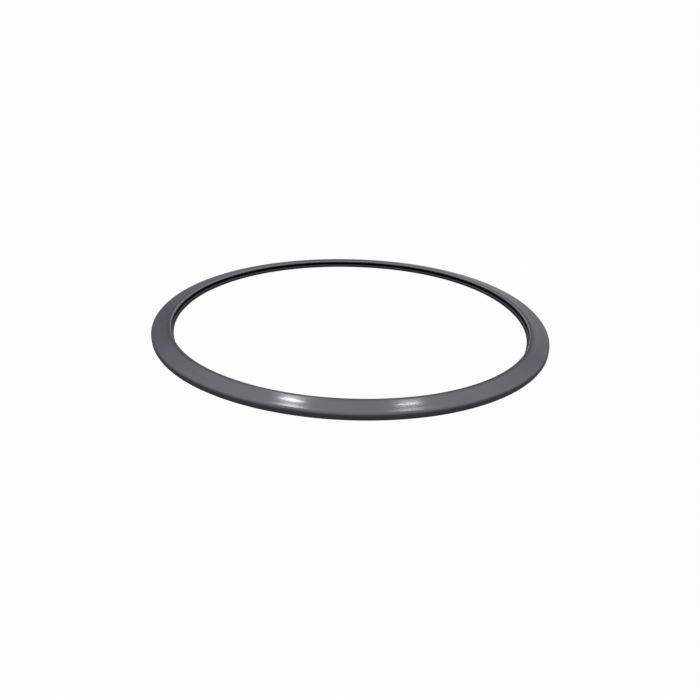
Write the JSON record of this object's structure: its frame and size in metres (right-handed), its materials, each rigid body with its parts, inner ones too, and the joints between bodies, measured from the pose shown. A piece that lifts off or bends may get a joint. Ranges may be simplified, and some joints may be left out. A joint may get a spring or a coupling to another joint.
{
  "type": "pressure cooker sealing ring",
  "caption": "Flexible dark grey rubber gasket ring for a pressure cooker lid, with a sloping top face and a groove that opens inwards between two lips.",
  "frame": {"origin": "centre of the ring, in the plane that its flat underside lies in", "axes": "+Z is the axis of the ring and points from the flat underside to the sloping top face; X and Y are any two diameters"},
  "size_m": [0.245, 0.245, 0.005],
  "materials": {
    "seal_rubber": "dark grey moulded rubber, smooth with a satin gloss and very fine turned tool marks from the mould"
  },
  "bodies": {
    "root": {"sealing_ring": "seal_rubber"}
  },
  "joints": []
}
